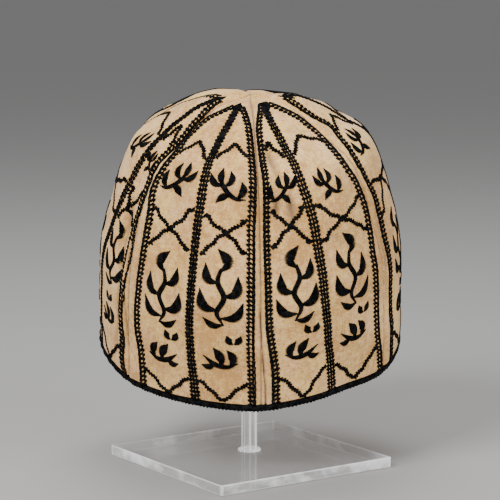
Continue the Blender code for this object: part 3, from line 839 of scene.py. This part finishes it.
# The lattice in each half of a gore: how far up the cloth each line meets the left and the right side, and
# how far across and up its arch's tip, its crossing and its low point lie
PLAIN_LATTICE = {"feet": (0.710, 0.710), "tip": (0.50, 0.765), "tops": (0.555, 0.555),
                 "crossing": (0.50, 0.510), "lows": (0.455, 0.455), "shoulders": (0.090, 0.090),
                 "point": (0.50, 0.022)}
LATTICES = {
    (1, "left"): {"feet": (0.700, 0.698), "tip": (0.53, 0.751), "tops": (0.535, 0.559),
                  "crossing": (0.505, 0.496), "lows": (0.438, 0.448), "shoulders": (0.069, 0.076),
                  "point": (0.525, 0.020)},
    (1, "right"): {"feet": (0.708, 0.723), "tip": (0.51, 0.761), "tops": (0.549, 0.541),
                   "crossing": (0.534, 0.508), "lows": (0.445, 0.453), "shoulders": (0.077, 0.080),
                   "point": (0.48, 0.024)},
    (2, "left"): {"feet": (0.751, 0.711), "tip": (0.28, 0.771), "tops": (0.566, 0.568),
                  "crossing": (0.516, 0.521), "lows": (0.468, 0.470), "shoulders": (0.092, 0.100),
                  "point": (0.466, 0.022)},
    (2, "right"): {"feet": (0.713, 0.729), "tip": (0.39, 0.769), "tops": (0.565, 0.549),
                   "crossing": (0.45, 0.511), "lows": (0.468, 0.455), "shoulders": (0.096, 0.099),
                   "point": (0.404, 0.026), "stout": (1.05, 1.40)},
    (3, "left"): dict(PLAIN_LATTICE, feet=(0.728, 0.690), tip=(0.66, 0.766), crossing=(0.42, 0.544)),
    (6, "left"): dict(PLAIN_LATTICE, crossing=(0.60, 0.521)),
    (6, "right"): dict(PLAIN_LATTICE, tip=(0.35, 0.774), crossing=(0.29, 0.494)),
}

# The motifs, as strokes through points in millimetres right and up from the motif's middle, each with half
# widths from its start to its end
BUD_SPRIG = (
    (((-10.6, -6.8), (-5.5, -6.6), (-0.5, -3.8), (3.8, 1.0)), (0.3, 1.3, 1.6, 1.3)),
    (((-5.4, -6.4), (-9.0, -2.4), (-7.6, 3.4)), (0.4, 2.8, 0.15)),
    (((-1.8, -4.4), (2.8, -5.6), (6.8, -9.2)), (0.4, 2.5, 0.15)),
    (((2.2, 0.2), (-1.8, 3.8), (-0.4, 9.4)), (0.6, 2.4, 0.15)),
    (((3.6, 0.8), (5.2, 5.2), (4.2, 11.0)), (0.8, 2.3, 0.15)),
    (((4.2, 0.2), (9.0, 1.6), (11.4, 6.8)), (0.6, 2.4, 0.15)),
    (((1.6, -1.6), (4.8, 2.0)), (1.7, 1.7)),
)
TALL_SPRIG = (
    (((-1.6, -21.0), (2.0, -13.6), (-1.8, -5.0), (1.8, 3.5), (0.2, 11.0)), (0.4, 1.5, 1.7, 1.6, 1.0)),
    (((0.2, 9.6), (-3.4, 14.6), (2.4, 21.6)), (0.8, 3.3, 0.15)),
    (((1.5, 3.0), (7.4, 5.0), (8.6, 13.4)), (0.5, 2.8, 0.15)),
    (((-1.4, -4.6), (-8.2, -2.2), (-8.8, 7.2)), (0.5, 3.1, 0.15)),
    (((1.4, -12.4), (9.4, -10.2), (11.2, -0.6)), (0.5, 3.3, 0.15)),
    (((-0.2, -17.0), (-8.2, -15.8), (-12.0, -7.4)), (0.5, 2.9, 0.15)),
    (((-1.4, -20.6), (4.4, -21.4), (9.6, -17.0)), (0.5, 2.2, 0.15)),
)
PETAL_PAIR = (
    (((-0.4, -2.8), (-3.4, -0.8), (-5.4, 3.2)), (0.5, 2.9, 0.15)),
    (((0.8, -2.8), (3.8, -0.8), (5.6, 3.2)), (0.5, 2.9, 0.15)),
)
LOW_SPRAY = (
    (((-10.2, -2.2), (-4.0, -4.8), (3.0, -3.6), (9.8, 1.4)), (0.3, 1.6, 1.7, 0.2)),
    (((-5.8, -4.2), (-7.6, 0.4), (-3.8, 5.8)), (0.6, 2.9, 0.15)),
    (((-0.8, -4.4), (-0.4, 0.6), (4.0, 6.6)), (0.6, 3.1, 0.15)),
    (((3.0, -3.4), (6.8, -5.6), (10.8, -4.4)), (0.5, 2.2, 0.15)),
)
MOTIFS = (BUD_SPRIG, TALL_SPRIG, PETAL_PAIR, LOW_SPRAY)
# Where each motif's middle lies across and up a half of a gore, and how wide it is drawn
PLAIN_MOTIFS = ((0.50, 0.625, 0.85), (0.50, 0.340, 1.0), (0.66, 0.206, 0.75), (0.50, 0.148, 0.92))
MOTIF_PLACES = {
    (1, "left"): ((0.42, 0.628, 0.92), (0.50, 0.330, 1.0), (0.72, 0.196, 0.72), (0.50, 0.137, 0.95)),
    (1, "right"): ((0.50, 0.628, 0.92), (0.49, 0.355, 1.05), (0.76, 0.207, 0.72), (0.48, 0.150, 0.98)),
    (2, "left"): ((0.40, 0.620, 0.72), (0.52, 0.362, 1.0), (0.76, 0.229, 0.72), (0.52, 0.170, 0.95)),
    (2, "right"): ((0.45, 0.612, 0.75), (0.50, 0.367, 1.0), (0.70, 0.240, 0.72), (0.45, 0.182, 0.95)),
    (3, "left"): ((0.34, 0.665, 0.75), (0.50, 0.345, 0.9), (0.60, 0.216, 0.75), (0.50, 0.160, 0.9)),
    (6, "left"): ((0.72, 0.655, 0.80), (0.55, 0.345, 0.9), (0.66, 0.206, 0.75), (0.55, 0.160, 0.9)),
    (6, "right"): ((0.60, 0.640, 0.42), (0.48, 0.355, 0.78), (0.55, 0.216, 0.6), (0.50, 0.160, 0.8)),
}
# How the lattice lines bend: shares of the way across and of the way up from one place to the next
ARCH_BENDS = ((0.0, 0.0), (0.30, 0.42), (0.68, 0.76))
LOW_V_BENDS = ((0.0, 0.0), (0.20, 0.12), (0.55, 0.50), (0.80, 0.82), (1.0, 1.0))
TO_CROSSING = ((0.42, 0.42), (0.74, 0.76), (1.0, 1.0))
FROM_CROSSING = ((0.30, 0.26), (0.60, 0.60))
ARCH_OVERSHOOT, ARCH_OVERRISE = 0.06, 0.004
BARB_RISE = 0.0072
CROSSING_KNOT = 0.009
# A motif drawn narrower is also lower and thinner, but by less
NARROW_LOWERS, NARROW_THINS = 0.50, 0.65


def mix_along(table, along):
    """A value read smoothly from a table over the stations up the cloth."""
    return curve_through(STATIONS, np.array(table, float), np.clip(along, 0.0, STATIONS[-1]))


def sew_rows(needle, path, rows, side=1.0, stout=1.0, first=0.0):
    """Rows of stitches along a path, with their left at its left, or at its right where side is -1."""
    for pitch, start, end, width, height, phase in rows:
        needle.row(path, pitch, (start[0], side * start[1]), (end[0], side * end[1]), width * stout, height,
                   phase, first)


def sew_band(needle, path, rung, solid_from):
    """The double ladder down a gore's middle, filled in solid above a place on it."""
    sew_rows(needle, path, BAND_SPINE)
    for side in (1.0, -1.0):
        sew_rows(needle, path, BAND_RUNGS, side, rung)
        sew_rows(needle, path, BAND_EDGES, side)
        sew_rows(needle, path, BAND_FILLING, side, first=solid_from)


def sew_lattice(needle, places, sway=LATTICE_SWAY, stout=1.0):
    """One lattice line: two strands twisted together, with small thorns on both edges."""
    path = Path(places, sway, (stout,))
    sew_rows(needle, path, LATTICE_STRANDS, stout=stout)
    sew_rows(needle, path, LATTICE_THORNS)


def sew_motif(needle, strokes, azimuth, along, mirror, width):
    """One filled motif with its middle at a place on the cloth, mirrored or not and drawn narrower."""
    for points, half_widths in strokes:
        points = np.array(points) * (width, 1.0 - NARROW_LOWERS + NARROW_LOWERS * width)
        up_cloth = along + points[:, 1] / CLOTH_LENGTH
        turn = azimuth + np.degrees(mirror * points[:, 0] / profile_at(up_cloth)[0])
        thinner = 1.0 - NARROW_THINS + NARROW_THINS * width
        needle.satin(Path(np.column_stack((turn, up_cloth))), np.array(half_widths) * thinner)


def sew_half(needle, number, side, edges):
    """The lattice and the motifs in one half of a gore, between the places that edges gives."""
    lattice = LATTICES.get((number, side), PLAIN_LATTICE)

    def at(across, along):
        """The place a share of the way across this half, at a height up the cloth."""
        left, right = edges(along)
        return left + (right - left) * across, along

    def bent(start, end, bends):
        """Places on the way from one to another, at the shares that the bends give."""
        return [at(start[0] + (end[0] - start[0]) * onwards, start[1] + (end[1] - start[1]) * upwards)
                for onwards, upwards in bends]

    tip_across, tip = lattice["tip"]
    for foot, start in zip(lattice["feet"], (0.0, 1.0)):
        over_tip = at(tip_across + (tip_across - start) * ARCH_OVERSHOOT, tip + ARCH_OVERRISE)
        sew_lattice(needle, bent((start, foot), (tip_across, tip), ARCH_BENDS) + [over_tip])
    cross = cross_across, crossing = lattice["crossing"]
    for tops, lows, start in ((lattice["tops"][0], lattice["lows"][1], 0.0),
                              (lattice["tops"][1], lattice["lows"][0], 1.0)):
        finish = 1.0 - start
        toward = finish - start
        drop = tops - crossing
        sink = crossing - lows
        sew_lattice(needle, [
            at(start, tops), at(start + toward * 0.09, tops - drop * 0.06),
            *bent((start, tops), cross, TO_CROSSING), *bent(cross, (finish, lows), FROM_CROSSING),
            at(finish - toward * 0.09, lows + sink * 0.07), at(finish, lows)])
        for across, level in ((start + toward * 0.10, tops - drop * 0.08),
                              (finish - toward * 0.10, lows + sink * 0.08)):
            barb = BARB_RISE if level > crossing else -BARB_RISE
            sew_lattice(needle, (at(across, level), at(across + toward * 0.01, level + barb)), sway=0.0)
    knot = Path((at(cross_across, crossing - CROSSING_KNOT), at(cross_across, crossing + CROSSING_KNOT)))
    needle.satin(knot, (0.3, 1.5, 0.3))
    stoutness = lattice.get("stout", (1.0, 1.0))
    for shoulder, start, stout in zip(lattice["shoulders"], (0.0, 1.0), stoutness):
        sew_lattice(needle, bent((start, shoulder), lattice["point"], LOW_V_BENDS), stout=stout)
    mirror = 1.0 if side == "left" else -1.0
    places = MOTIF_PLACES.get((number, side), PLAIN_MOTIFS)
    for strokes, (across, along, width) in zip(MOTIFS, places):
        sew_motif(needle, strokes, at(across, along)[0], along, mirror, width)


for number, lines in GORE_LINES.items():
    left_seam, right_seam = SEAMS[number - 1], SEAMS[number]
    middle = (left_seam + right_seam) / 2
    apex_azimuth, apex = lines["apex"]
    up_cloth = np.linspace(LINE_FOOT, min(STATIONS[-1], apex - LINE_BREAK), LINE_KNOTS)
    up_cloth = np.append(up_cloth, apex - LINE_END)
    radii = profile_at(up_cloth)[0]
    left_line = left_seam + np.degrees(mix_along(lines["left"], up_cloth) / radii)
    right_line = right_seam - np.degrees(mix_along(lines["right"], up_cloth) / radii)
    band_line = middle + mix_along(lines["band"], up_cloth)
    tip_width = lines.get("tip", 1.0)
    side_step = math.degrees(APEX_HALF * tip_width / radii[-1])
    left_line[-1] = apex_azimuth - side_step
    right_line[-1] = apex_azimuth + side_step
    band_line[-1] = apex_azimuth
    needle = Needle()
    breadths = lines.get("breadths", PLAIN_BREADTHS)
    left_path, right_path, band = (Path(np.column_stack((line, up_cloth)), breadth=breadth)
                                   for line, breadth in zip((left_line, right_line, band_line), breadths))
    sew_rows(needle, left_path, BORDER_ROWS)
    sew_rows(needle, right_path, BORDER_ROWS, side=-1.0)
    sew_band(needle, band, lines.get("rung", PLAIN_RUNG), band.length * lines.get("solid_from", SOLID_FROM))
    tip_shape = lines.get("tip_shape", POINTED_TIP)
    needle.satin(Path([(apex_azimuth, apex + rise) for rise, _ in tip_shape]),
                 np.array([half_width for _, half_width in tip_shape]) * tip_width)

    def left_half(along):
        """Azimuths of the left border's inner edge and the band's left edge."""
        radius = profile_at(along)[0]
        start = left_seam + math.degrees((mix_along(lines["left"], along) + BORDER_HALF) / radius)
        return start, middle + mix_along(lines["band"], along) - math.degrees(BAND_HALF / radius)

    def right_half(along):
        """Azimuths of the band's right edge and the right border's inner edge."""
        radius = profile_at(along)[0]
        end = right_seam - math.degrees((mix_along(lines["right"], along) + BORDER_HALF) / radius)
        return middle + mix_along(lines["band"], along) + math.degrees(BAND_HALF / radius), end

    sew_half(needle, number, "left", left_half)
    sew_half(needle, number, "right", right_half)
    sewn = needle.finish(f"embroidery_{number}")
    sewn.data.materials.append(thread)
    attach(sewn, "root")
